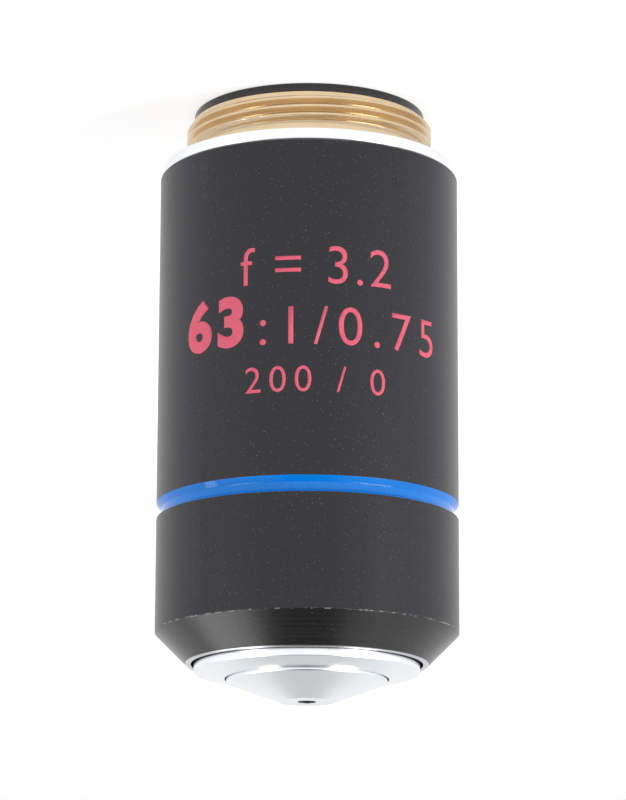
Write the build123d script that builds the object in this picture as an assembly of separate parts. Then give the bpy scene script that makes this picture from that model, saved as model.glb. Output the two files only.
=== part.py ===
from build123d import *
from math import sqrt, tan, radians
import os

# A microscope objective with a spring-loaded nose, in millimetres.
# It stands on its thread end at z = 0, and its optical axis runs up +Z to the front lens.
# The housing is the brass mount with its end ring, the black sleeve and the return spring.
# The nose is the lens tube with all that rides in it, and it pushes back into the housing.

# Main lengths along the axis
shoulder_height = 4.55
shoulder_to_tip = 44.55
nose_travel = 1.8

# Mount: thread, shoulder flange, neck and guide tube
thread_radius = 10.16
thread_depth = 0.54
thread_lead = 0.3
thread_relief = 0.42
pilot_inset = 0.31
pilot_length = 0.55
rear_bore_wall = 1.2
bore_step = 0.74
guide_wall = 1.15
flange_inset = 0.3
flange_thickness = 0.95
neck_length = 5.2
edge_break = 0.1

# End ring screwed into the thread end, which carries the spring
end_ring_inset = 0.07
end_ring_flange = 0.75
end_ring_depth = 2.55
notch_width = 1.4
notch_depth = 0.4

# Outer sleeve
sleeve_air = 0.79
sleeve_wall = 1.2
sleeve_edge = 0.17
lip_gap = 0.24
lip_width = 0.38
lip_round = 0.16
front_wall = 3.1
band_to_chamfer = 9.26
band_depth = 0.4
band_floor = 0.6
band_slope = 0.45
band_front_slope = 0.25

# Nose face
nose_protrusion = 0.62
nose_face_angle = 12.5
face_step = 0.42
cone_gap = 0.12
cone_angle = 20.5
cone_step = 0.2
cone_rim = 0.1
tip_radius = 2.25

# Lens tube and what holds it
tube_wall = 2.92
tube_relief = 0.3
rear_land = 5.0
front_land = 5.6
stop_ring_thickness = 2.0
stop_ring_wall = 1.35
front_cell_flange = 1.6
front_cell_shank = 1.5
retainer_thickness = 1.2
retainer_recess = 0.4
retainer_wall = 1.9
retainer_thread = 0.3

# Guide screw, which runs in a slot of the guide tube
screw_head_radius = 1.0
screw_head_height = 1.05
screw_shank_radius = 0.6
screw_shank_length = 1.6
screw_slot_width = 0.35
screw_slot_depth = 0.4
screw_below_guide_end = 4.0

# Return spring
spring_length = 9.6
spring_wire = 0.8
spring_play = 0.4
spring_margin = 0.22
spring_turns = 5

# Clearances, on the radius or along the axis
guide_clearance = 0.04
cell_clearance = 0.02
lens_clearance = 0.02
screw_clearance = 0.02
slot_clearance = 0.06
boss_clearance = 0.05
hole_clearance = 0.3
seat_gap = 0.02
travel_clearance = 0.4
end_clearance = 0.1

# Lens seats and the rings that lock the lenses
seat_width = 0.4
lip_thickness = 0.7
tip_wall = 0.22
cell_edge = 0.15
lock_thickness = 0.8
lock_thread = 0.6
lock_notch_width = 0.8
lock_notch_depth = 0.35

# Front lens: a thick meniscus, hollow towards the specimen
front_lens_radius = 1.78
front_lens_clear = 0.74
front_lens_curve = 1.7
front_lens_rear_curve = 2.2
front_lens_rim = 1.65
front_web_depth = 0.1

# Second lens: a meniscus
meniscus_gap = 1.44
meniscus_radius = 3.2
meniscus_curve = 6.0
meniscus_rear_curve = 4.2
meniscus_rim = 1.35
meniscus_boss_wall = 0.85
meniscus_boss_rise = 0.4
meniscus_lip = 0.9

# First doublet: the crown is in front
first_gap = 0.3
first_cell_wall = 2.28
first_curve = 9.5
first_inner_curve = 7.0
first_crown_rim = 0.57
first_flint = 1.0

# Second doublet: the flint is in front
second_gap = 2.14
second_cell_wall = 2.08
second_curve = 16.0
second_inner_curve = 6.8
second_rear_curve = 12.5
second_flint = 0.9
second_crown_rim = 0.5

# Rear group, which flattens the field: a hollow element and a full one
rear_cell_wall = 2.38
rear_curve = 11.0
rear_inner_curve = 8.0
rear_hollow = 1.05
rear_full_rim = 1.02

# Spacers and stop
spacer_wall = 1.0
stop_thickness = 0.3
stop_radius = 2.9


def sag(curve, height):
    """Depth of a spherical face of radius curve at a height off the axis."""
    return curve - sqrt(curve * curve - height * height)


# Radii, from the thread outwards
thread_root_radius = thread_radius - thread_depth
pilot_radius = thread_radius - pilot_inset
rear_bore_radius = thread_root_radius - rear_bore_wall
guide_bore_radius = rear_bore_radius + bore_step
guide_radius = guide_bore_radius + guide_wall
sleeve_bore_radius = guide_radius + sleeve_air
sleeve_radius = sleeve_bore_radius + sleeve_wall
neck_radius = sleeve_bore_radius - screw_clearance
flange_radius = sleeve_radius - flange_inset

# Radii of the nose, and of what it passes through
nose_radius = guide_bore_radius - guide_clearance
lip_bore_radius = nose_radius + lip_gap
lip_outer_radius = lip_bore_radius + lip_width
tube_bore_radius = nose_radius - tube_wall
face_bore_radius = tube_bore_radius + face_step
cone_radius = face_bore_radius - cone_gap
cell_radius = tube_bore_radius - cell_clearance
first_radius = cell_radius - first_cell_wall
second_radius = cell_radius - second_cell_wall
rear_radius = cell_radius - rear_cell_wall
boss_radius = meniscus_radius + lens_clearance + meniscus_boss_wall
cavity_radius = boss_radius + boss_clearance

# Radii of the spring and the end ring
spring_radius = rear_bore_radius - spring_play - spring_wire / 2
end_ring_radius = thread_root_radius - end_ring_inset
end_ring_body_radius = rear_bore_radius - screw_clearance
end_ring_bore_radius = spring_radius - spring_wire / 2 - spring_margin

# Heights of the nose's front
tip_z = shoulder_height + shoulder_to_tip
cone_base_z = tip_z - (cone_radius - tip_radius) * tan(radians(cone_angle))
face_inner_z = cone_base_z - cone_step
nose_edge_z = face_inner_z - (nose_radius - face_bore_radius) * tan(radians(nose_face_angle))
front_seat_z = cone_base_z - front_cell_flange
shank_end_z = front_seat_z - front_cell_shank

# Heights down through the lens train
front_lens_z = tip_z - tip_wall
front_lens_vertex_z = front_lens_z - sag(front_lens_curve, front_lens_clear)
front_lens_rear_z = front_lens_z - front_lens_rim - sag(front_lens_rear_curve, front_lens_radius)
web_z = front_lens_rear_z + front_web_depth

meniscus_z = front_lens_rear_z - meniscus_gap
meniscus_rim_z = meniscus_z + sag(meniscus_curve, meniscus_radius)
meniscus_rear_z = meniscus_rim_z - meniscus_rim - sag(meniscus_rear_curve, meniscus_radius)
meniscus_lip_radius = meniscus_radius - seat_width
meniscus_lip_z = meniscus_rear_z + sag(meniscus_rear_curve, meniscus_lip_radius)
meniscus_cell_z = meniscus_lip_z - meniscus_lip

first_z = meniscus_rear_z - first_gap
first_lip_z = first_z - sag(first_curve, first_radius - seat_width)
first_crown = first_crown_rim + sag(first_curve, first_radius) + sag(first_inner_curve, first_radius)
first_inner_z = first_z - first_crown
first_rear_z = first_inner_z - first_flint
first_lock_z = first_rear_z - lock_thickness
first_cell_z = first_lock_z - end_clearance

second_z = first_rear_z - second_gap
second_lip_z = second_z - sag(second_curve, second_radius - seat_width)
second_cell_top_z = second_lip_z + lip_thickness
second_inner_z = second_z - second_flint
second_crown_edge_z = second_inner_z - sag(second_inner_curve, second_radius) - second_crown_rim
second_rear_z = second_crown_edge_z - sag(second_rear_curve, second_radius)
second_contact_z = second_rear_z + sag(second_rear_curve, second_radius - seat_width)
second_lock_z = second_contact_z - lock_thickness
second_cell_z = second_lock_z - end_clearance
stop_z = second_cell_z - stop_thickness

# Heights up from the end ring to the rear group
spring_seat_z = end_ring_flange + end_ring_depth
tube_end_z = spring_seat_z + spring_length
retainer_z = tube_end_z + retainer_recess
rear_cell_z = retainer_z + retainer_thickness
rear_lock_z = rear_cell_z + end_clearance
rear_glass_z = rear_lock_z + lock_thickness
rear_inner_z = rear_glass_z + rear_full_rim + sag(rear_inner_curve, rear_radius)
rear_front_z = rear_inner_z + rear_hollow
rear_lip_z = rear_front_z + sag(rear_curve, rear_radius - seat_width)
rear_cell_top_z = rear_lip_z + lip_thickness

# Heights of the housing
thread_start_z = end_ring_flange + pilot_length
flange_top_z = shoulder_height + flange_thickness
neck_top_z = flange_top_z + neck_length
lip_z = nose_edge_z - nose_protrusion
chamfer_end_z = lip_z - lip_round
chamfer_z = chamfer_end_z - (sleeve_radius - lip_outer_radius - lip_round)
stop_seat_z = lip_z - front_wall
stop_ring_top_z = stop_seat_z - seat_gap
stop_ring_z = stop_ring_top_z - stop_ring_thickness
guide_end_z = stop_ring_z - nose_travel - travel_clearance
guide_step_z = tube_end_z - nose_travel - travel_clearance
screw_z = guide_end_z - screw_below_guide_end


def turned(outline):
    """Solid of revolution from (radius, height) points."""
    section = make_face(Polyline(*outline, close=True))
    return revolve(Plane.XZ * section, Axis.Z)


def ring(inner, outer, bottom, top):
    """Plain ring with square edges."""
    return turned([(inner, bottom), (outer, bottom), (outer, top), (inner, top)])


def notches(bore, reach, width, depth, bottom):
    """Two spanner notches across a ring's lower face, from inside its bore out to reach."""
    cutters = []
    for side in (-1, 1):
        middle = Pos(side * (bore + reach) / 2, 0, bottom)
        cutters.append(middle * Box(reach - bore + width, width, 2 * depth))
    return cutters


def locking_ring(inner, outer, bottom, top):
    """Threaded ring with two notches, which holds a lens in its cell."""
    body = ring(inner, outer, bottom, top)
    return body - notches(inner, outer, lock_notch_width, lock_notch_depth, bottom)


def face_line(vertex_z, depth, curve, reach):
    """Half section of a spherical face, from the axis out to reach.

    depth is the signed rise from the vertex to the edge, and curve is its sphere's radius.
    """
    side = 1 if depth > 0 else -1
    middle_z = vertex_z + side * sag(curve, reach / 2)
    return ThreePointArc((0, vertex_z), (reach / 2, middle_z), (reach, vertex_z + depth))


def lens(front, rear):
    """Lens from the half sections of its two faces, each a list of lines from axis to rim."""
    rim = Line(front[-1] @ 1, rear[-1] @ 1)
    axis = Line(front[0] @ 0, rear[0] @ 0)
    return revolve(Plane.XZ * make_face([*front, rim, *rear, axis]), Axis.Z)


# Housing


def mount_body():
    """Brass mount: thread, shoulder flange, neck for the sleeve and guide tube for the nose."""
    body = turned([
        (rear_bore_radius, end_ring_flange),
        (pilot_radius, end_ring_flange),
        (pilot_radius, thread_start_z),
        (thread_radius, thread_start_z + thread_lead),
        (thread_radius, shoulder_height - thread_relief),
        (thread_root_radius, shoulder_height - thread_relief),
        (thread_root_radius, shoulder_height),
        (flange_radius - edge_break, shoulder_height),
        (flange_radius, shoulder_height + edge_break),
        (flange_radius, flange_top_z - edge_break),
        (flange_radius - edge_break, flange_top_z),
        (neck_radius, flange_top_z),
        (neck_radius, neck_top_z),
        (guide_radius, neck_top_z),
        (guide_radius, guide_end_z),
        (guide_bore_radius, guide_end_z),
        (guide_bore_radius, guide_step_z),
        (rear_bore_radius, guide_step_z),
    ])
    slot_width = 2 * (screw_head_radius + slot_clearance)
    wall = Plane((0, 0, screw_z - nose_travel / 2), x_dir=(0, 0, 1), z_dir=(1, 0, 0))
    slot = wall * SlotCenterToCenter(nose_travel, slot_width)
    return body - extrude(slot, amount=neck_radius)


def end_ring():
    """Black ring screwed into the thread end; its flange covers the mount's end face."""
    body = turned([
        (end_ring_bore_radius, 0),
        (end_ring_radius - edge_break, 0),
        (end_ring_radius, edge_break),
        (end_ring_radius, end_ring_flange),
        (end_ring_body_radius, end_ring_flange),
        (end_ring_body_radius, spring_seat_z),
        (end_ring_bore_radius, spring_seat_z),
    ])
    return body - notches(end_ring_bore_radius, end_ring_body_radius, notch_width, notch_depth, 0)


def outer_sleeve():
    """Sleeve with the groove for the colour band and the chamfered front end."""
    band_end = chamfer_z - band_to_chamfer
    floor_end = band_end - band_front_slope
    floor_start = floor_end - band_floor
    return turned([
        (sleeve_bore_radius, flange_top_z),
        (sleeve_radius - sleeve_edge, flange_top_z),
        (sleeve_radius, flange_top_z + sleeve_edge),
        (sleeve_radius, floor_start - band_slope),
        (sleeve_radius - band_depth, floor_start),
        (sleeve_radius - band_depth, floor_end),
        (sleeve_radius, band_end),
        (sleeve_radius, chamfer_z),
        (lip_outer_radius + lip_round, chamfer_end_z),
        (lip_outer_radius, lip_z),
        (lip_bore_radius, lip_z),
        (lip_bore_radius, stop_seat_z),
        (sleeve_bore_radius, stop_seat_z),
    ])


def return_spring():
    """Coil spring with a closed turn and a ground face at each end.

    The wire has eight sides and runs in short chords, which keeps its turns light.
    """
    chords = 20
    pitch = (spring_length - 2 * spring_wire) / (spring_turns - 2)
    points = []
    for i in range(spring_turns * chords + 1):
        turn = i / chords
        closed = min(turn, 1) + max(turn - spring_turns + 1, 0)
        height = spring_wire * closed + pitch * (turn - closed)
        points.append(Vector(spring_radius, 0, spring_seat_z + height).rotate(Axis.Z, 360 * turn))
    path = Polyline(*points)
    section = Plane(path @ 0, z_dir=path % 0) * RegularPolygon(spring_wire / 2, 8)
    wire = sweep(section, path=path, transition=Transition.RIGHT)
    return wire & ring(end_ring_bore_radius, rear_bore_radius, spring_seat_z, tube_end_z)


# Nose


def lens_tube():
    """Sliding tube: two guide lands, the bright nose face and the bore for the cells."""
    body = turned([
        (tube_bore_radius + retainer_thread, tube_end_z),
        (nose_radius - edge_break, tube_end_z),
        (nose_radius, tube_end_z + edge_break),
        (nose_radius, tube_end_z + rear_land),
        (nose_radius - tube_relief, tube_end_z + rear_land),
        (nose_radius - tube_relief, guide_end_z - front_land),
        (nose_radius, guide_end_z - front_land),
        (nose_radius, nose_edge_z),
        (face_bore_radius, face_inner_z),
        (face_bore_radius, front_seat_z),
        (tube_bore_radius, front_seat_z),
        (tube_bore_radius, rear_cell_z),
        (tube_bore_radius + retainer_thread, rear_cell_z),
    ])
    hole = Cylinder(screw_shank_radius + screw_clearance, 2 * (screw_shank_length + hole_clearance))
    return body - Pos(nose_radius, 0, screw_z) * Rot(0, 90, 0) * hole


def stop_ring():
    """Ring screwed on the tube; it rests on the sleeve's front wall and sets the nose's height."""
    inner = nose_radius + screw_clearance
    body = ring(inner, inner + stop_ring_wall, stop_ring_z, stop_ring_top_z)
    return body - notches(inner, inner + stop_ring_wall, lock_notch_width, notch_depth, stop_ring_z)


def guide_screw():
    """Screw in the tube's wall whose head runs in the guide slot."""
    head = Cylinder(screw_head_radius, screw_head_height, align=(Align.CENTER, Align.CENTER, Align.MIN))
    shank = Cylinder(screw_shank_radius, screw_shank_length, align=(Align.CENTER, Align.CENTER, Align.MAX))
    cut = Pos(0, 0, screw_head_height) * Box(3 * screw_head_radius, screw_slot_width, 2 * screw_slot_depth)
    return Pos(nose_radius, 0, screw_z) * Rot(0, 90, 0) * (head + shank - cut)


def front_cell():
    """Cone that carries the front lens behind a small opening in its flat tip."""
    return turned([
        (front_lens_clear, tip_z),
        (tip_radius, tip_z),
        (cone_radius - cone_rim, cone_base_z + cone_rim * tan(radians(cone_angle))),
        (cone_radius, cone_base_z - cone_rim),
        (cone_radius, front_seat_z),
        (cell_radius, front_seat_z),
        (cell_radius, shank_end_z),
        (cavity_radius, shank_end_z),
        (cavity_radius, web_z),
        (front_lens_radius + lens_clearance, web_z),
        (front_lens_radius + lens_clearance, front_lens_z),
        (front_lens_clear, front_lens_z),
    ])


def front_lens():
    """Thick meniscus with a flat land round its small hollow front face."""
    rise = sag(front_lens_curve, front_lens_clear)
    bulge = sag(front_lens_rear_curve, front_lens_radius)
    hollow = face_line(front_lens_vertex_z, rise, front_lens_curve, front_lens_clear)
    land = Line(hollow @ 1, (front_lens_radius, front_lens_z))
    rear = face_line(front_lens_rear_z, bulge, front_lens_rear_curve, front_lens_radius)
    return lens([hollow, land], [rear])


def meniscus_cell():
    """Cell of the second lens, whose boss reaches up into the front cell."""
    bore = meniscus_radius + lens_clearance
    boss_top = meniscus_rim_z + meniscus_boss_rise
    return turned([
        (bore, boss_top),
        (boss_radius, boss_top),
        (boss_radius, shank_end_z),
        (cell_radius, shank_end_z),
        (cell_radius, meniscus_cell_z),
        (meniscus_lip_radius, meniscus_cell_z),
        (meniscus_lip_radius, meniscus_lip_z),
        (bore, meniscus_lip_z),
    ])


def meniscus_lens():
    """Second lens, hollow in front and strongly domed behind."""
    radius = meniscus_radius
    front = face_line(meniscus_z, sag(meniscus_curve, radius), meniscus_curve, radius)
    rear = face_line(meniscus_rear_z, sag(meniscus_rear_curve, radius), meniscus_rear_curve, radius)
    return lens([front], [rear])


def lens_cell(radius, top, lip, lock, bottom):
    """Cell with a front lip that the glass rests on and a wider thread for its locking ring."""
    bore = radius + lens_clearance
    return turned([
        (radius - seat_width, top),
        (cell_radius - cell_edge, top),
        (cell_radius, top - cell_edge),
        (cell_radius, bottom + cell_edge),
        (cell_radius - cell_edge, bottom),
        (bore + lock_thread, bottom),
        (bore + lock_thread, lock),
        (bore, lock),
        (bore, lip),
        (radius - seat_width, lip),
    ])


def cell_lock(radius, bottom):
    """Locking ring of a lens cell."""
    outer = radius + lens_clearance + lock_thread - screw_clearance
    return locking_ring(radius - seat_width, outer, bottom, bottom + lock_thickness)


def first_doublet():
    """Crown and flint of the first doublet, cemented on one curved face."""
    radius = first_radius
    front = face_line(first_z, -sag(first_curve, radius), first_curve, radius)
    inner = face_line(first_inner_z, sag(first_inner_curve, radius), first_inner_curve, radius)
    rear = Line((0, first_rear_z), (radius, first_rear_z))
    return lens([front], [inner]), lens([inner], [rear])


def second_doublet():
    """Flint and crown of the second doublet."""
    radius = second_radius
    front = face_line(second_z, -sag(second_curve, radius), second_curve, radius)
    inner = face_line(second_inner_z, -sag(second_inner_curve, radius), second_inner_curve, radius)
    rear = face_line(second_rear_z, sag(second_rear_curve, radius), second_rear_curve, radius)
    return lens([front], [inner]), lens([inner], [rear])


def rear_group():
    """Hollow and full elements of the rear group, cemented on one curved face."""
    radius = rear_radius
    clear = radius - seat_width
    hollow = face_line(rear_front_z, sag(rear_curve, clear), rear_curve, clear)
    land = Line(hollow @ 1, (radius, rear_lip_z))
    inner = face_line(rear_inner_z, -sag(rear_inner_curve, radius), rear_inner_curve, radius)
    rear = Line((0, rear_glass_z), (radius, rear_glass_z))
    return lens([hollow, land], [inner]), lens([inner], [rear])


def retaining_ring():
    """Ring screwed into the tube's rear end, which holds the whole stack of cells."""
    outer = tube_bore_radius + retainer_thread - screw_clearance
    return locking_ring(outer - retainer_wall, outer, retainer_z, rear_cell_z)


def spacer(bottom, top):
    """Tube between two cells."""
    return ring(cell_radius - spacer_wall, cell_radius, bottom, top)


def save(name, solid):
    """Write one piece to its own file."""
    solid.label = name
    export_step(solid, f"parts/{name}.step")


first_crown_glass, first_flint_glass = first_doublet()
second_flint_glass, second_crown_glass = second_doublet()
rear_hollow_glass, rear_full_glass = rear_group()

pieces = {
    "mount_body": mount_body(),
    "end_ring": end_ring(),
    "outer_sleeve": outer_sleeve(),
    "return_spring": return_spring(),
    "lens_tube": lens_tube(),
    "stop_ring": stop_ring(),
    "guide_screw": guide_screw(),
    "front_cell": front_cell(),
    "front_lens": front_lens(),
    "meniscus_cell": meniscus_cell(),
    "meniscus_lens": meniscus_lens(),
    "first_doublet_cell": lens_cell(first_radius, meniscus_cell_z, first_lip_z, first_rear_z, first_cell_z),
    "first_doublet_crown": first_crown_glass,
    "first_doublet_flint": first_flint_glass,
    "first_doublet_lock": cell_lock(first_radius, first_lock_z),
    "doublet_spacer": spacer(second_cell_top_z, first_cell_z),
    "second_doublet_cell": lens_cell(
        second_radius, second_cell_top_z, second_lip_z, second_contact_z, second_cell_z
    ),
    "second_doublet_flint": second_flint_glass,
    "second_doublet_crown": second_crown_glass,
    "second_doublet_lock": cell_lock(second_radius, second_lock_z),
    "aperture_stop": ring(stop_radius, cell_radius, stop_z, second_cell_z),
    "long_spacer": spacer(rear_cell_top_z, stop_z),
    "rear_cell": lens_cell(rear_radius, rear_cell_top_z, rear_lip_z, rear_glass_z, rear_cell_z),
    "rear_hollow_element": rear_hollow_glass,
    "rear_full_element": rear_full_glass,
    "rear_lock": cell_lock(rear_radius, rear_lock_z),
    "retaining_ring": retaining_ring(),
}

os.makedirs("parts", exist_ok=True)
for name, solid in pieces.items():
    save(name, solid)
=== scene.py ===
from math import asin, ceil, cos, pi, radians, sin, sqrt, tan

import bmesh
import bpy
from mathutils import Matrix, Vector


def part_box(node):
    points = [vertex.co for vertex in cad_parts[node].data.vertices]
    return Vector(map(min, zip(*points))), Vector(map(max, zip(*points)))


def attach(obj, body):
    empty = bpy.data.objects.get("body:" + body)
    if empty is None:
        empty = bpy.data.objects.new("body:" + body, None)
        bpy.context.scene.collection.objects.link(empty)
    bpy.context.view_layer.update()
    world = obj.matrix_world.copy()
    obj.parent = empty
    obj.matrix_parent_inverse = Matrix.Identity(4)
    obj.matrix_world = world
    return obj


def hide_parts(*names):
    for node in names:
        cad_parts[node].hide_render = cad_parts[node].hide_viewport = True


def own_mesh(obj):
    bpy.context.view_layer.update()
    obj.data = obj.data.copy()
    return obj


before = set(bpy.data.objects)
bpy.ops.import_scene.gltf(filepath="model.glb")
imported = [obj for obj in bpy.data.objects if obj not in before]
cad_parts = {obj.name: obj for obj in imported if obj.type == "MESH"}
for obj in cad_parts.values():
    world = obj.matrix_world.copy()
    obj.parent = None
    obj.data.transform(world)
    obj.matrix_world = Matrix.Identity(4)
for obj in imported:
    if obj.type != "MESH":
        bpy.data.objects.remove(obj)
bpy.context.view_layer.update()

mm = 0.001

# Sizes that the frame gives
end_face_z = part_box("mount_body")[0].z
guide_end_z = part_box("mount_body")[1].z
flange_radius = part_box("mount_body")[1].x
end_ring_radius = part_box("end_ring")[1].x
spring_seat_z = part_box("end_ring")[1].z
flange_top_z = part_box("outer_sleeve")[0].z
lip_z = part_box("outer_sleeve")[1].z
sleeve_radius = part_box("outer_sleeve")[1].x
tube_end_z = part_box("lens_tube")[0].z
face_inner_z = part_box("lens_tube")[1].z
nose_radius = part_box("lens_tube")[1].x
shank_end_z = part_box("front_cell")[0].z
tip_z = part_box("front_cell")[1].z
cone_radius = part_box("front_cell")[1].x
rear_cell_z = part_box("rear_cell")[0].z
cell_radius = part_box("rear_cell")[1].x
screw_z = (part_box("guide_screw")[0].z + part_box("guide_screw")[1].z) / 2
screw_head_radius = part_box("guide_screw")[1].y
lens_rear_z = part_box("front_lens")[0].z
lens_front_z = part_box("front_lens")[1].z
lens_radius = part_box("front_lens")[1].x

# Mount: thread, shoulder flange, neck and guide tube
thread_radius = 10.16 * mm
thread_pitch = 25.4 / 36 * mm
thread_depth = 0.452 * mm
thread_crest = 0.96
thread_flat = 0.6
thread_rows = 24
thread_phase = 0.333
thread_lead_slope = 3
relief_radius = 9.62 * mm
thread_relief = 1.15 * mm
pilot_radius = 9.7 * mm
pilot_length = 0.35 * mm
shoulder_z = 4.55 * mm
neck_top_z = 10.7 * mm
neck_radius = 11.08 * mm
guide_radius = 10.31 * mm
guide_gap = 0.04 * mm
guide_bore_radius = nose_radius + guide_gap
guide_step_z = 10.7 * mm
rear_bore_radius = 8.42 * mm
slot_clearance = 0.06 * mm
slot_half_steps = 32
flange_round = 0.1 * mm
mount_round = 0.05 * mm

# Stroke of the sprung nose
stroke = 1.8 * mm

# End ring
end_ring_body_radius = 8.4 * mm
end_ring_bore_radius = 7.0 * mm
notch_width = 1.4 * mm
notch_depth = 0.4 * mm

# Outer sleeve
sleeve_bore_radius = 11.1 * mm
lip_gap = 0.24 * mm
lip_wall = 0.38 * mm
lip_length = 3.1 * mm
lip_bore_radius = nose_radius + lip_gap
lip_outer_radius = lip_bore_radius + lip_wall
lip_round = 0.08 * mm
stop_seat_z = lip_z - lip_length
band_to_chamfer = 9.26 * mm
band_depth = 0.4 * mm
band_floor = 0.6 * mm
band_slope = 0.45 * mm
band_front_slope = 0.25 * mm
band_floor_round = 0.12 * mm
band_edge_round = 0.04 * mm
sleeve_edge = 0.17 * mm
sleeve_columns = 320
chamfer_z = lip_z - (sleeve_radius - lip_outer_radius)

# Painted glints (tiny bright dots in the colour) and real wear of the black metal
glint_cell = 0.2 * mm
glint_radius = 0.024 * mm
blasted_glint_share = 0.4
turned_glint_share = 0.25
worn_width = 0.04 * mm
nick_size = 0.5 * mm
nick_level = 0.52
blasted_wear = 0.9

# Lens tube and front cell
fit_gap = 0.02 * mm
cone_gap = 0.12 * mm
tube_bore_radius = cell_radius + fit_gap
retainer_thread = 0.3 * mm
tube_relief = 0.3 * mm
rear_land = 5.0 * mm
front_land = 5.6 * mm
face_bore_radius = cone_radius + cone_gap
nose_face_angle = radians(12.5)
cone_angle = radians(20.5)
tip_radius = 2.25 * mm
front_cell_flange = 1.6 * mm
recess_radius = 0.74 * mm
lens_bore_radius = lens_radius + fit_gap
lens_web = 0.1 * mm
cavity_radius = 4.12 * mm
cone_rim = 0.05 * mm
cone_rim_round = 0.02 * mm
screw_hole_radius = 0.62 * mm
screw_hole_depth = 1.9 * mm

# Front lens
lens_front_curve = 1.7 * mm
lens_rear_curve = 2.2 * mm
lens_steps = 12
lens_columns = 96

# Return spring
spring_wire = 0.8 * mm
spring_radius = 7.62 * mm
spring_turns = 5
spring_steps = 72
spring_sides = 20

# Figures printed on the barrel: words, weight, height, left and right end along the face, foot, in mm
figure_height = 0.012 * mm
figure_chord = 0.4 * mm
figure_rows = (
    ("f = 3.2", -0.006, 3.1, -5.6, 6.9, 17.55),
    ("63", 0.042, 4.3, -11.0, -5.3, 22.45),
    (":1/0.75", -0.004, 3.1, -3.9, 11.6, 22.5),
    ("200 / 0", -0.004, 2.1, -5.1, 6.35, 26.35),
)

# Mesh: columns of a turned piece, steps of a rounding, angle from which an edge stays sharp,
# and lengths that count as none
turned_columns = 256
round_steps = 4
sharp_angle = radians(32)
weld_distance = 1e-7
thin_distance = 1e-8

# Floor: colour for the light that falls on it, and colour and glow where it is seen
ground_radius = 4.0
ground_segments = 96
ground_colour = 0.9
ground_seen_colour = 0.4
ground_glow = 0.62

# World: each range gives two heights or depths and the light or share at each
sky_light = (0.3, 0.9, 1.0, 0.95)
front_depth = (-0.75, 0.0, 0.7, 0.0)
front_height = (0.1, 0.45, 0.0, 1.0)
wedge_slope = 0.45
wedge_start = 0.1
wedge_blur = (-0.05, 0.1, 0.0, 1.0)
wedge_share = (-0.15, 0.55, 0.85, 0.3)

# Soft boxes: name, azimuth and elevation in degrees, size in metres, power in watts
box_distance = 0.6
box_aim_z = 25 * mm
soft_boxes = (
    ("right_box", -57, 30, (0.28, 0.5), 3.4),
    ("left_box", 57, 30, (0.2, 0.5), 1.6),
    ("right_top_box", -137, 59, (0.12, 0.14), 0.16),
    ("left_top_box", 109, 55, (0.22, 0.3), 0.5),
)

# Camera: the photograph was taken with the objective on its thread end, then turned upside down
camera_place = Vector((0, -284.18, 91.1)) * mm
camera_aim = Vector((-0.406, 0, 24.148)) * mm
camera_roll = radians(180.227)
focal_pixels = 3560.1
frame_pixels = 800


# Mesh helpers


def rounded(outline):
    """Points (radius, height, finish) of an outline with corners (radius, height, rounding, finish).

    finish names the face that follows the point.
    """
    points = []
    for i, (radius, height, rounding, finish) in enumerate(outline):
        corner = Vector((radius, height))
        if not rounding:
            points.append((radius, height, finish))
            continue
        before = (Vector(outline[i - 1][:2]) - corner).normalized()
        after = (Vector(outline[(i + 1) % len(outline)][:2]) - corner).normalized()
        half = before.angle(after) / 2
        middle = corner + (before + after).normalized() * rounding / sin(half)
        start = corner + before * rounding / tan(half) - middle
        end = corner + after * rounding / tan(half) - middle
        turn = start.angle(end)
        for k in range(round_steps + 1):
            part = k / round_steps
            spoke = (start * sin((1 - part) * turn) + end * sin(part * turn)) / sin(turn)
            face = finish if k >= round_steps / 2 else outline[i - 1][3]
            points.append((middle.x + spoke.x, middle.y + spoke.y, face))
    return points


def arc(curve_radius, centre_z, reach_from, reach_to, side, finish):
    """Points of a spherical face about (0, centre_z), between two distances from the axis."""
    points = []
    for k in range(lens_steps + 1):
        reach = reach_from + (reach_to - reach_from) * k / lens_steps
        points.append((reach, centre_z + side * sqrt(curve_radius ** 2 - reach ** 2), finish))
    return points


def placed(name, data):
    """Object of some data, in the scene."""
    item = bpy.data.objects.new(name, data)
    bpy.context.scene.collection.objects.link(item)
    return item


def mesh_of(name, shape):
    """Mesh made from a bmesh, which is freed."""
    mesh = bpy.data.meshes.new(name)
    shape.to_mesh(mesh)
    shape.free()
    return mesh


def spun(name, section, body, columns_round=turned_columns):
    """Closed piece from a function that gives the section's points at each angle."""
    slots = []
    shape = bmesh.new()
    columns = []
    for j in range(columns_round + 1):
        angle = 2 * pi * j / columns_round
        points = section(angle)
        columns.append([shape.verts.new((r * cos(angle), r * sin(angle), z)) for r, z, _ in points])
    finishes = [point[2] for point in section(0)]
    for left, right in zip(columns, columns[1:]):
        for i, finish in enumerate(finishes):
            if finish not in slots:
                slots.append(finish)
            k = (i + 1) % len(finishes)
            face = shape.faces.new((left[i], right[i], right[k], left[k]))
            face.material_index = slots.index(finish)
            face.smooth = True
    bmesh.ops.remove_doubles(shape, verts=shape.verts, dist=weld_distance)
    bmesh.ops.dissolve_degenerate(shape, dist=thin_distance, edges=shape.edges)
    bmesh.ops.recalc_face_normals(shape, faces=shape.faces)
    piece = placed(name, mesh_of(name, shape))
    for finish in slots:
        piece.data.materials.append(finishes_by_name[finish])
    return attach(piece, body)


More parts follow.
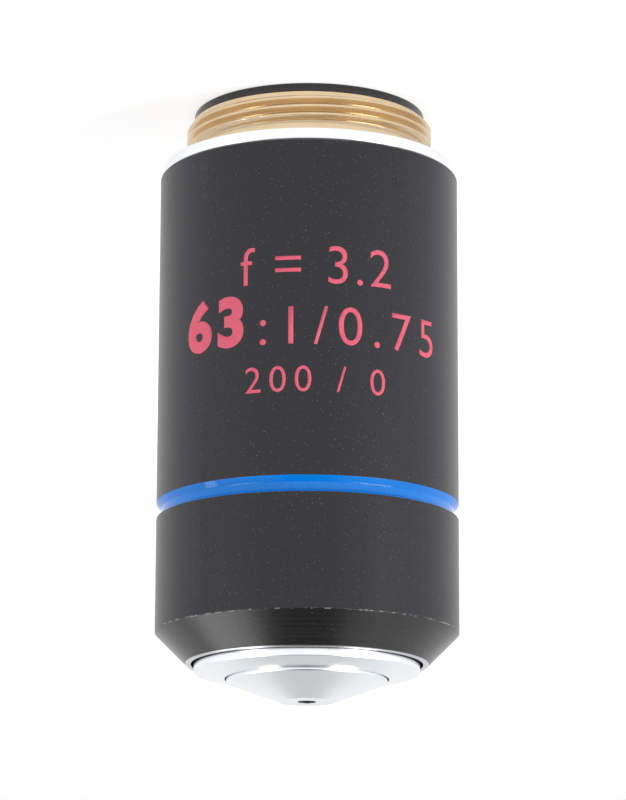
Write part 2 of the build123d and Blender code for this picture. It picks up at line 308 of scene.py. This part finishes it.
def cut(piece, near, far):
    """Cut the prism between two outlines out of a piece, for good."""
    shape = bmesh.new()
    for outline in (near, far):
        shape.faces.new([shape.verts.new(point) for point in outline])
    first, last = shape.faces
    for i in range(len(near)):
        k = (i + 1) % len(near)
        shape.faces.new((first.verts[i], first.verts[k], last.verts[k], last.verts[i]))
    bmesh.ops.recalc_face_normals(shape, faces=shape.faces)
    tool = placed("tool", mesh_of("tool", shape))
    modifier = piece.modifiers.new("cut", "BOOLEAN")
    modifier.operation = "DIFFERENCE"
    modifier.object = tool
    bpy.context.view_layer.update()
    shape = piece.evaluated_get(bpy.context.evaluated_depsgraph_get())
    mesh = bpy.data.meshes.new_from_object(shape)
    piece.modifiers.clear()
    piece.data = mesh
    bpy.data.objects.remove(tool)


def finish_edges(piece):
    """Keep sharp corners sharp and flat faces flat under smooth shading."""
    piece.data.set_sharp_from_angle(angle=sharp_angle)
    weighted = piece.modifiers.new("normals", "WEIGHTED_NORMAL")
    weighted.keep_sharp = True


# Materials


def material(name, colour, metallic, roughness, specular=0.5):
    """Principled material and its node tree."""
    made = bpy.data.materials.new(name)
    made.use_nodes = True
    shader = made.node_tree.nodes["Principled BSDF"]
    shader.inputs["Base Color"].default_value = (*colour, 1)
    shader.inputs["Metallic"].default_value = metallic
    shader.inputs["Roughness"].default_value = roughness
    shader.inputs["Specular IOR Level"].default_value = specular
    return made, made.node_tree, shader


def math_node(tree, operation, first, second=0.0):
    """Result of a math node on two values or sockets."""
    made = tree.nodes.new("ShaderNodeMath")
    made.operation = operation
    for socket, value in zip(made.inputs, (first, second)):
        if isinstance(value, (int, float)):
            socket.default_value = value
        else:
            tree.links.new(value, socket)
    return made.outputs[0]


def turned_coordinates(tree):
    """Vector (distance from the axis, 0, height) of a surface point, its place and its height."""
    place = tree.nodes.new("ShaderNodeTexCoord")
    parts = tree.nodes.new("ShaderNodeSeparateXYZ")
    tree.links.new(place.outputs["Object"], parts.inputs[0])
    x, y, z = parts.outputs
    across, along = math_node(tree, "MULTIPLY", x, x), math_node(tree, "MULTIPLY", y, y)
    radius = math_node(tree, "SQRT", math_node(tree, "ADD", across, along))
    joined = tree.nodes.new("ShaderNodeCombineXYZ")
    tree.links.new(radius, joined.inputs[0])
    tree.links.new(z, joined.inputs[2])
    return joined.outputs[0], place.outputs["Object"], z


def noise(tree, vector, size, detail=2.0):
    """Noise whose cells are about size metres."""
    made = tree.nodes.new("ShaderNodeTexNoise")
    made.inputs["Scale"].default_value = 1 / size
    made.inputs["Detail"].default_value = detail
    tree.links.new(vector, made.inputs["Vector"])
    return made.outputs["Fac"]


def spread(tree, value, low, high, out_low, out_high):
    """Value mapped from one range to another, clamped."""
    made = tree.nodes.new("ShaderNodeMapRange")
    for socket, number in zip(list(made.inputs)[1:5], (low, high, out_low, out_high)):
        socket.default_value = number
    tree.links.new(value, made.inputs[0])
    return made.outputs[0]


def bump(tree, shader, height, strength, distance):
    """Bump on a shader, from a height socket."""
    made = tree.nodes.new("ShaderNodeBump")
    made.inputs["Strength"].default_value = strength
    made.inputs["Distance"].default_value = distance
    tree.links.new(height, made.inputs["Height"])
    tree.links.new(made.outputs[0], shader.inputs["Normal"])


def mixed_colour(tree, shader, factor, low, high):
    """Base colour that runs from low to high with a factor socket."""
    made = tree.nodes.new("ShaderNodeMix")
    made.data_type = "RGBA"
    made.inputs[6].default_value = (*low, 1)
    made.inputs[7].default_value = (*high, 1)
    tree.links.new(factor, made.inputs[0])
    tree.links.new(made.outputs[2], shader.inputs["Base Color"])


def turned_metal(name, colour, roughness, line, depth, tint=0.9):
    """Lathe-turned metal: fine rings round the axis, with slight changes of tone and gloss."""
    made, tree, shader = material(name, colour, 1.0, roughness)
    rings, place, _ = turned_coordinates(tree)
    lines = noise(tree, rings, line)
    blotches = noise(tree, place, 3 * mm)
    ring_share = math_node(tree, "MULTIPLY", lines, 0.6)
    tone = math_node(tree, "ADD", ring_share, math_node(tree, "MULTIPLY", blotches, 0.4))
    dark = tuple(c * tint for c in colour)
    mixed_colour(tree, shader, spread(tree, tone, 0.35, 0.65, 0, 1), dark, colour)
    gloss = spread(tree, lines, 0.3, 0.7, roughness * 0.8, roughness * 1.25)
    tree.links.new(gloss, shader.inputs["Roughness"])
    bump(tree, shader, lines, 0.6, depth)
    return made


def painted_glints(tree, place, share):
    """Mask of tiny bright dots of painted glint, in a share of the cells."""
    cells = tree.nodes.new("ShaderNodeTexVoronoi")
    cells.inputs["Scale"].default_value = 1 / glint_cell
    tree.links.new(place, cells.inputs["Vector"])
    chosen = tree.nodes.new("ShaderNodeSeparateColor")
    tree.links.new(cells.outputs["Color"], chosen.inputs[0])
    dot = math_node(tree, "LESS_THAN", cells.outputs["Distance"], glint_radius / glint_cell)
    return math_node(tree, "MULTIPLY", dot, math_node(tree, "LESS_THAN", chosen.outputs[0], share))


def worn_edge(tree, place, z):
    """Mask of the nicks along the edge between the barrel and its front chamfer."""
    distance = math_node(tree, "ABSOLUTE", math_node(tree, "SUBTRACT", z, chamfer_z))
    near = math_node(tree, "LESS_THAN", distance, worn_width)
    nicks = math_node(tree, "GREATER_THAN", noise(tree, place, nick_size, 3.0), nick_level)
    return math_node(tree, "MULTIPLY", near, nicks)


def black_anodised(name, colour, roughness, grain):
    """Bead-blasted black anodised metal with painted glints as bright dots and a worn front edge."""
    made, tree, shader = material(name, colour, 0.0, roughness, 0.42)
    _, place, z = turned_coordinates(tree)
    worn = math_node(tree, "MULTIPLY", worn_edge(tree, place, z), blasted_wear)
    # The colour runs towards grey at painted glints (bright dots that stand in for sparkle) and at
    # the real nicks of the worn edge.
    glints_and_wear = math_node(tree, "ADD", painted_glints(tree, place, blasted_glint_share), worn)
    mixed_colour(tree, shader, glints_and_wear, colour, (0.16, 0.16, 0.16))
    fine = noise(tree, place, grain, 3.0)
    gloss = spread(tree, fine, 0.3, 0.7, roughness * 0.9, roughness * 1.15)
    tree.links.new(gloss, shader.inputs["Roughness"])
    bump(tree, shader, fine, 0.5, 0.012 * mm)
    return made


def turned_black(name, colour, roughness):
    """Black metal turned after blasting: glossier, with fine rings, a few painted glints as bright
    dots and a worn edge.
    """
    made, tree, shader = material(name, colour, 0.0, roughness)
    rings, place, z = turned_coordinates(tree)
    lines = noise(tree, rings, 0.12 * mm, 3.0)
    # The colour runs towards grey at a few painted glints (bright dots that stand in for sparkle), at
    # the real nicks of the worn edge, and slightly along the turned rings.
    glints_and_wear = math_node(tree, "ADD", painted_glints(tree, place, turned_glint_share), worn_edge(tree, place, z))
    tone = math_node(tree, "ADD", spread(tree, lines, 0.45, 0.75, 0, 0.1), glints_and_wear)
    mixed_colour(tree, shader, tone, colour, (0.12, 0.12, 0.12))
    bump(tree, shader, lines, 0.5, 0.008 * mm)
    return made


def enamel(name, colour, roughness):
    """Glossy enamel that filled the groove, with slight waves."""
    made, tree, shader = material(name, colour, 0.0, roughness, 0.3)
    place = tree.nodes.new("ShaderNodeTexCoord").outputs["Object"]
    waves = noise(tree, place, 1.2 * mm)
    mixed_colour(tree, shader, waves, tuple(c * 0.85 for c in colour), colour)
    bump(tree, shader, waves, 0.3, 0.03 * mm)
    return made


def paint(name, colour):
    """Matt paint of the figures."""
    made, tree, shader = material(name, colour, 0.0, 0.6, 0.3)
    place = tree.nodes.new("ShaderNodeTexCoord").outputs["Object"]
    grain = noise(tree, place, 0.15 * mm)
    mixed_colour(tree, shader, grain, tuple(c * 0.8 for c in colour), colour)
    return made


def glass(name):
    """Clear coated glass."""
    made, tree, shader = material(name, (0.96, 0.98, 0.97), 0.0, 0.02, 0.1)
    shader.inputs["Transmission Weight"].default_value = 1.0
    shader.inputs["IOR"].default_value = 1.55
    place = tree.nodes.new("ShaderNodeTexCoord").outputs["Object"]
    film = noise(tree, place, 2 * mm)
    mixed_colour(tree, shader, film, (0.94, 0.97, 0.95), (0.98, 0.98, 0.99))
    return made


finishes_by_name = {
    "brass": turned_metal("turned_brass", (0.77, 0.6, 0.39), 0.25, 0.1 * mm, 0.003 * mm, 0.8),
    "plate": turned_metal("satin_plate", (0.88, 0.9, 0.93), 0.3, 0.08 * mm, 0.002 * mm, 0.96),
    "nose": turned_metal("nose_plate", (0.84, 0.87, 0.9), 0.22, 0.06 * mm, 0.0015 * mm, 0.95),
    "lip": turned_metal("bare_lip", (0.55, 0.55, 0.57), 0.24, 0.05 * mm, 0.001 * mm),
    "blasted": black_anodised("blasted_black", (0.005, 0.005, 0.008), 0.33, 0.09 * mm),
    "turned_black": turned_black("turned_black", (0.004, 0.004, 0.004), 0.26),
    "inner_black": turned_black("inner_black", (0.012, 0.012, 0.013), 0.4),
    "enamel": enamel("blue_enamel", (0.0, 0.15, 0.52), 0.06),
    "figures": paint("figure_paint", (0.58, 0.09, 0.14)),
    "spring": turned_metal("spring_wire", (0.6, 0.6, 0.62), 0.3, 0.2 * mm, 0.003 * mm),
    "steel": turned_metal("screw_steel", (0.58, 0.58, 0.6), 0.3, 0.1 * mm, 0.002 * mm),
    "glass": glass("coated_glass"),
}


# Housing


def thread_points(angle):
    """Outline of the helical thread at one angle, from the pilot up to the relief."""
    start = end_face_z + pilot_length
    end = shoulder_z - thread_relief
    turns = ceil((end - start) / thread_pitch) + 1
    points = []
    for k in range(turns * thread_rows + 1):
        turn = k / thread_rows
        z = start + thread_pitch * (turn - 1 + angle / (2 * pi))
        z = min(max(z, start), end)
        wave = asin(thread_crest * cos(2 * pi * (turn + thread_phase))) / asin(thread_crest)
        wave = min(wave, thread_flat)
        radius = thread_radius - thread_depth * (thread_flat - wave) / (1 + thread_flat)
        radius = max(radius, pilot_radius - (z - start))
        lead_radius = pilot_radius + thread_lead_slope * (z - start)
        radius = min(radius, lead_radius, relief_radius + (end - z))
        points.append((radius, z, "brass"))
    return points


def mount_section(angle):
    """Section of the mount: pilot, thread, shoulder flange, neck and guide tube."""
    below = rounded([
        (rear_bore_radius, end_face_z, 0, "brass"),
        (pilot_radius, end_face_z, mount_round, "brass"),
        (pilot_radius, end_face_z + pilot_length, 0, "brass"),
    ])
    above = rounded([
        (relief_radius, shoulder_z - thread_relief, 0, "brass"),
        (relief_radius, shoulder_z, mount_round, "plate"),
        (flange_radius, shoulder_z, flange_round, "plate"),
        (flange_radius, flange_top_z, flange_round, "plate"),
        (neck_radius, flange_top_z, 0, "brass"),
        (neck_radius, neck_top_z, 0, "brass"),
        (guide_radius, neck_top_z, 0, "brass"),
        (guide_radius, guide_end_z, 0, "brass"),
        (guide_bore_radius, guide_end_z, 0, "brass"),
        (guide_bore_radius, guide_step_z, 0, "brass"),
        (rear_bore_radius, guide_step_z, 0, "brass"),
    ])
    return below[:-1] + thread_points(angle) + above[1:]


def around_screw(radius, first, last, drop=0):
    """Points in y and z round the guide screw's axis, from one step to another."""
    points = []
    for k in range(first, last + 1):
        turn = pi * k / slot_half_steps
        points.append((radius * cos(turn), screw_z + radius * sin(turn) - drop))
    return points


def cut_across(piece, outline, near, far):
    """Cut an outline in y and z out of a piece, between two places along x."""
    cut(piece, [(near, y, z) for y, z in outline], [(far, y, z) for y, z in outline])


def make_mount():
    mount = spun("mount", mount_section, "housing")
    radius = screw_head_radius + slot_clearance
    outline = around_screw(radius, 0, slot_half_steps)
    outline += around_screw(radius, slot_half_steps, 2 * slot_half_steps, stroke)
    cut_across(mount, outline, nose_radius - radius, neck_radius)
    finish_edges(mount)
    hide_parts("mount_body")


def make_end_ring():
    outline = rounded([
        (end_ring_bore_radius, 0, 0.05 * mm, "turned_black"),
        (end_ring_radius, 0, 0.1 * mm, "turned_black"),
        (end_ring_radius, end_face_z, 0.06 * mm, "turned_black"),
        (end_ring_body_radius, end_face_z, 0, "turned_black"),
        (end_ring_body_radius, spring_seat_z, 0, "turned_black"),
        (end_ring_bore_radius, spring_seat_z, 0, "turned_black"),
    ])
    piece = spun("thread_end_ring", lambda angle: outline, "housing")
    half = notch_width / 2
    reach = end_ring_body_radius + half
    start = end_ring_bore_radius - half
    for side in (-1, 1):
        corners = [(start, -half), (reach, -half), (reach, half), (start, half)]
        low, high = [[(side * x, y, z) for x, y in corners] for z in (-notch_depth, notch_depth)]
        cut(piece, low, high)
    finish_edges(piece)
    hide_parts("end_ring")


def make_sleeve():
    band_end = chamfer_z - band_to_chamfer
    floor_end = band_end - band_front_slope
    floor_start = floor_end - band_floor
    floor_radius = sleeve_radius - band_depth
    outline = rounded([
        (sleeve_bore_radius, flange_top_z, 0, "turned_black"),
        (sleeve_radius - sleeve_edge, flange_top_z, 0.03 * mm, "turned_black"),
        (sleeve_radius, flange_top_z + sleeve_edge, 0.05 * mm, "blasted"),
        (sleeve_radius, floor_start - band_slope, band_edge_round, "enamel"),
        (floor_radius, floor_start, band_floor_round, "enamel"),
        (floor_radius, floor_end, band_floor_round, "enamel"),
        (sleeve_radius, band_end, band_edge_round, "blasted"),
        (sleeve_radius, chamfer_z, 0.05 * mm, "turned_black"),
        (lip_outer_radius + lip_round, lip_z - lip_round, 0, "lip"),
        (lip_outer_radius, lip_z, 0.06 * mm, "lip"),
        (lip_bore_radius, lip_z, 0.05 * mm, "turned_black"),
        (lip_bore_radius, stop_seat_z, 0, "turned_black"),
        (sleeve_bore_radius, stop_seat_z, 0, "turned_black"),
    ])
    piece = spun("sleeve", lambda angle: outline, "housing", sleeve_columns)
    finish_edges(piece)
    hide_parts("outer_sleeve")


def make_spring():
    """Round-wire coil with a closed turn at each end; its wire is cut off flat at both seats."""
    length = tube_end_z - spring_seat_z
    pitch = (length - 2 * spring_wire) / (spring_turns - 2)
    shape = bmesh.new()
    rings = []
    for i in range(spring_turns * spring_steps + 1):
        turn = i / spring_steps
        closed = min(turn, 1) + max(turn - spring_turns + 1, 0)
        height = spring_seat_z + spring_wire * closed + pitch * (turn - closed)
        angle = 2 * pi * turn
        ring = []
        for k in range(spring_sides):
            spoke = 2 * pi * k / spring_sides
            reach = spring_radius + spring_wire / 2 * cos(spoke)
            z = min(max(height + spring_wire / 2 * sin(spoke), spring_seat_z), tube_end_z)
            ring.append(shape.verts.new((reach * cos(angle), reach * sin(angle), z)))
        rings.append(ring)
    for lower, upper in zip(rings, rings[1:]):
        for k in range(spring_sides):
            face = shape.faces.new((lower[k], upper[k], upper[k - 1], lower[k - 1]))
            face.smooth = True
    shape.faces.new(rings[0])
    shape.faces.new(rings[-1][::-1])
    bmesh.ops.recalc_face_normals(shape, faces=shape.faces)
    piece = placed("coil_spring", mesh_of("coil_spring", shape))
    piece.data.materials.append(finishes_by_name["spring"])
    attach(piece, "housing")
    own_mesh(piece)
    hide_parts("return_spring")


# Nose


def make_tube():
    nose_edge_z = face_inner_z - (nose_radius - face_bore_radius) * tan(nose_face_angle)
    seat_z = tip_z - (cone_radius - tip_radius) * tan(cone_angle) - front_cell_flange
    relief = nose_radius - tube_relief
    front_land_z = guide_end_z - front_land
    outline = rounded([
        (tube_bore_radius + retainer_thread, tube_end_z, 0, "nose"),
        (nose_radius, tube_end_z, 0.1 * mm, "nose"),
        (nose_radius, tube_end_z + rear_land, 0, "nose"),
        (relief, tube_end_z + rear_land, 0, "nose"),
        (relief, front_land_z, 0, "nose"),
        (nose_radius, front_land_z, 0, "nose"),
        (nose_radius, nose_edge_z, 0.06 * mm, "nose"),
        (face_bore_radius, face_inner_z, 0.03 * mm, "nose"),
        (face_bore_radius, seat_z, 0, "nose"),
        (tube_bore_radius, seat_z, 0, "nose"),
        (tube_bore_radius, rear_cell_z, 0, "nose"),
        (tube_bore_radius + retainer_thread, rear_cell_z, 0, "nose"),
    ])
    piece = spun("sliding_tube", lambda angle: outline, "nose")
    hole = around_screw(screw_hole_radius, 1, 2 * slot_half_steps)
    cut_across(piece, hole, nose_radius - screw_hole_depth, nose_radius + slot_clearance)
    finish_edges(piece)
    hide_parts("lens_tube")


def make_front_cell():
    base_z = tip_z - (cone_radius - tip_radius) * tan(cone_angle)
    seat_z = base_z - front_cell_flange
    web_z = lens_rear_z + lens_web
    outline = rounded([
        (recess_radius, tip_z, 0.03 * mm, "nose"),
        (tip_radius, tip_z, 0.08 * mm, "nose"),
        (cone_radius - cone_rim, base_z + cone_rim * tan(cone_angle), cone_rim_round, "nose"),
        (cone_radius, base_z - cone_rim, cone_rim_round, "nose"),
        (cone_radius, seat_z, 0, "nose"),
        (cell_radius, seat_z, 0, "nose"),
        (cell_radius, shank_end_z, 0, "inner_black"),
        (cavity_radius, shank_end_z, 0, "inner_black"),
        (cavity_radius, web_z, 0, "inner_black"),
        (lens_bore_radius, web_z, 0, "inner_black"),
        (lens_bore_radius, lens_front_z, 0, "inner_black"),
        (recess_radius, lens_front_z, 0, "inner_black"),
    ])
    piece = spun("cone_cell", lambda angle: outline, "nose")
    finish_edges(piece)
    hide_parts("front_cell")


def make_front_lens():
    depth = lens_front_curve - sqrt(lens_front_curve ** 2 - recess_radius ** 2)
    front_centre = lens_front_z - depth + lens_front_curve
    rear_centre = lens_rear_z + lens_rear_curve
    hollow = arc(lens_front_curve, front_centre, 0, recess_radius, -1, "glass")
    rear = arc(lens_rear_curve, rear_centre, lens_radius, 0, -1, "glass")
    outline = hollow + [(lens_radius, lens_front_z, "glass")] + rear
    piece = spun("tip_lens", lambda angle: outline, "nose", lens_columns)
    finish_edges(piece)
    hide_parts("front_lens")


def dress_cad_nodes():
    """Give each CAD node its finish."""
    finish_of_node = {"stop_ring": "brass", "guide_screw": "steel"}
    for name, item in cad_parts.items():
        slot = item.data.materials[0].name if item.data.materials else ""
        usual = "glass" if slot.startswith("lens_glass") else "inner_black"
        item.data.materials.clear()
        item.data.materials.append(finishes_by_name[finish_of_node.get(name, usual)])


# Figures on the barrel


def row_mesh(words, weight, spacing):
    """Flat mesh of a row of figures."""
    curve = bpy.data.curves.new("words", "FONT")
    curve.body = words
    curve.offset = weight
    curve.space_character = spacing
    curve.resolution_u = 8
    item = placed("words", curve)
    bpy.context.view_layer.update()
    shown = item.evaluated_get(bpy.context.evaluated_depsgraph_get())
    mesh = bpy.data.meshes.new_from_object(shown)
    bpy.data.objects.remove(item)
    return mesh


def reach_of(mesh, side):
    """Lowest and highest value of a mesh along x (0) or y (1)."""
    values = [vertex.co[side] for vertex in mesh.vertices]
    return min(values), max(values)


def wrap_row(shape, words, weight, height, left, right, foot_z):
    """Add a row of figures to shape, bent round the barrel between two places along its face."""
    widths = []
    for spacing in (1, 2):
        low, high = reach_of(row_mesh(words, weight, spacing), 0)
        widths.append(high - low)
    foot, top = reach_of(row_mesh(words, weight, 1), 1)
    scale = height / (top - foot)
    spacing = 1 + ((right - left) / scale - widths[0]) / (widths[1] - widths[0])
    mesh = row_mesh(words, weight, spacing)
    start = reach_of(mesh, 0)[0]
    row = bmesh.new()
    row.from_mesh(mesh)
    bmesh.ops.scale(row, vec=(scale, scale, scale), verts=row.verts)
    bmesh.ops.translate(row, vec=(left - start * scale, -foot * scale, 0), verts=row.verts)
    bmesh.ops.remove_doubles(row, verts=row.verts, dist=weld_distance)
    for k in range(1, ceil((right - left) / figure_chord)):
        parts = row.verts[:] + row.edges[:] + row.faces[:]
        place = (left + k * figure_chord, 0, 0)
        bmesh.ops.bisect_plane(row, geom=parts, plane_co=place, plane_no=(1, 0, 0))
    raised = bmesh.ops.extrude_face_region(row, geom=row.faces[:], use_keep_orig=True)["geom"]
    raised = {part for part in raised if isinstance(part, bmesh.types.BMVert)}
    for vertex in row.verts:
        along, up, _ = vertex.co
        turn = along / sleeve_radius
        reach = sleeve_radius + (figure_height if vertex in raised else -figure_height)
        vertex.co = (-reach * sin(turn), -reach * cos(turn), foot_z - up)
    bmesh.ops.recalc_face_normals(row, faces=row.faces)
    shape.from_mesh(mesh_of("row", row))


def make_figures():
    """Three rows of plain figures, printed on the barrel's face towards the camera."""
    shape = bmesh.new()
    for words, weight, height, left, right, foot in figure_rows:
        wrap_row(shape, words, weight, height * mm, left * mm, right * mm, foot * mm)
    piece = placed("barrel_figures", mesh_of("barrel_figures", shape))
    piece.data.materials.append(finishes_by_name["figures"])
    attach(piece, "housing")


# Stage


def make_floor():
    """White floor that shows the object's shadow."""
    shape = bmesh.new()
    bmesh.ops.create_circle(shape, cap_ends=True, segments=ground_segments, radius=ground_radius)
    piece = placed("floor", mesh_of("floor", shape))
    made = bpy.data.materials.new("white_floor")
    made.use_nodes = True
    tree = made.node_tree
    tree.nodes.clear()
    out = tree.nodes.new("ShaderNodeOutputMaterial")
    diffuse = tree.nodes.new("ShaderNodeBsdfDiffuse")
    diffuse.inputs["Color"].default_value = (ground_colour,) * 3 + (1,)
    shaded = tree.nodes.new("ShaderNodeBsdfDiffuse")
    shaded.inputs["Color"].default_value = (ground_seen_colour,) * 3 + (1,)
    glow = tree.nodes.new("ShaderNodeEmission")
    glow.inputs["Color"].default_value = (1, 1, 1, 1)
    glow.inputs["Strength"].default_value = ground_glow
    shown = tree.nodes.new("ShaderNodeAddShader")
    tree.links.new(shaded.outputs[0], shown.inputs[0])
    tree.links.new(glow.outputs[0], shown.inputs[1])
    path = tree.nodes.new("ShaderNodeLightPath")
    seen = math_node(tree, "ADD", path.outputs["Is Camera Ray"], path.outputs["Is Glossy Ray"])
    seen = math_node(tree, "ADD", seen, path.outputs["Is Transmission Ray"])
    mix = tree.nodes.new("ShaderNodeMixShader")
    tree.links.new(math_node(tree, "MINIMUM", seen, 1.0), mix.inputs[0])
    tree.links.new(diffuse.outputs[0], mix.inputs[1])
    tree.links.new(shown.outputs[0], mix.inputs[2])
    tree.links.new(mix.outputs[0], out.inputs["Surface"])
    piece.data.materials.append(made)


def make_world():
    """White studio, darker above the camera's side and in a wedge that widens overhead."""
    world = bpy.data.worlds.new("studio")
    world.use_nodes = True
    bpy.context.scene.world = world
    tree = world.node_tree
    back = tree.nodes["Background"]
    place = tree.nodes.new("ShaderNodeTexCoord")
    parts = tree.nodes.new("ShaderNodeSeparateXYZ")
    tree.links.new(place.outputs["Generated"], parts.inputs[0])
    x, y, z = parts.outputs
    height = spread(tree, z, *sky_light)
    front = spread(tree, y, *front_depth)
    high = spread(tree, z, *front_height)
    front_light = math_node(tree, "SUBTRACT", 1.0, math_node(tree, "MULTIPLY", front, high))
    width = math_node(tree, "SUBTRACT", math_node(tree, "MULTIPLY", z, wedge_slope), wedge_start)
    aside = math_node(tree, "ABSOLUTE", x)
    inside = spread(tree, math_node(tree, "SUBTRACT", width, aside), *wedge_blur)
    taken = math_node(tree, "MULTIPLY", inside, spread(tree, y, *wedge_share))
    wedge_light = math_node(tree, "SUBTRACT", 1.0, taken)
    open_light = math_node(tree, "MULTIPLY", height, front_light)
    level = math_node(tree, "MULTIPLY", open_light, wedge_light)
    joined = tree.nodes.new("ShaderNodeCombineXYZ")
    for socket in joined.inputs:
        tree.links.new(level, socket)
    tree.links.new(joined.outputs[0], back.inputs["Color"])
    back.inputs["Strength"].default_value = 1.0


def make_light(name, azimuth, elevation, size, power):
    """Soft box that faces the middle of the object; azimuth is counted from the camera's side."""
    azimuth, elevation = radians(azimuth), radians(elevation)
    lamp = bpy.data.lights.new(name, "AREA")
    lamp.shape = "RECTANGLE"
    lamp.size, lamp.size_y = size
    lamp.energy = power
    item = placed(name, lamp)
    away = Vector((sin(azimuth) * cos(elevation), -cos(azimuth) * cos(elevation), sin(elevation)))
    item.location = away * box_distance + Vector((0, 0, box_aim_z))
    item.rotation_euler = away.to_track_quat("Z", "Y").to_euler()
    item.visible_camera = False


def make_camera():
    lens = bpy.data.cameras.new("camera")
    lens.sensor_fit = "VERTICAL"
    lens.sensor_height = 24
    lens.lens = focal_pixels / frame_pixels * lens.sensor_height
    lens.clip_start = 0.01
    item = placed("camera", lens)
    ahead = (camera_aim - camera_place).normalized()
    level = ahead.cross(Vector((0, 0, 1))).normalized()
    upright = level.cross(ahead)
    right = cos(camera_roll) * level + sin(camera_roll) * upright
    up = cos(camera_roll) * upright - sin(camera_roll) * level
    turn = Matrix((right, up, -ahead)).transposed().to_4x4()
    item.matrix_world = Matrix.Translation(camera_place) @ turn
    bpy.context.scene.camera = item


make_mount()
make_end_ring()
make_sleeve()
make_spring()
make_tube()
make_front_cell()
make_front_lens()
make_figures()
dress_cad_nodes()
make_floor()
make_world()
for box in soft_boxes:
    make_light(*box)
make_camera()
bpy.context.scene.view_settings.view_transform = "Standard"
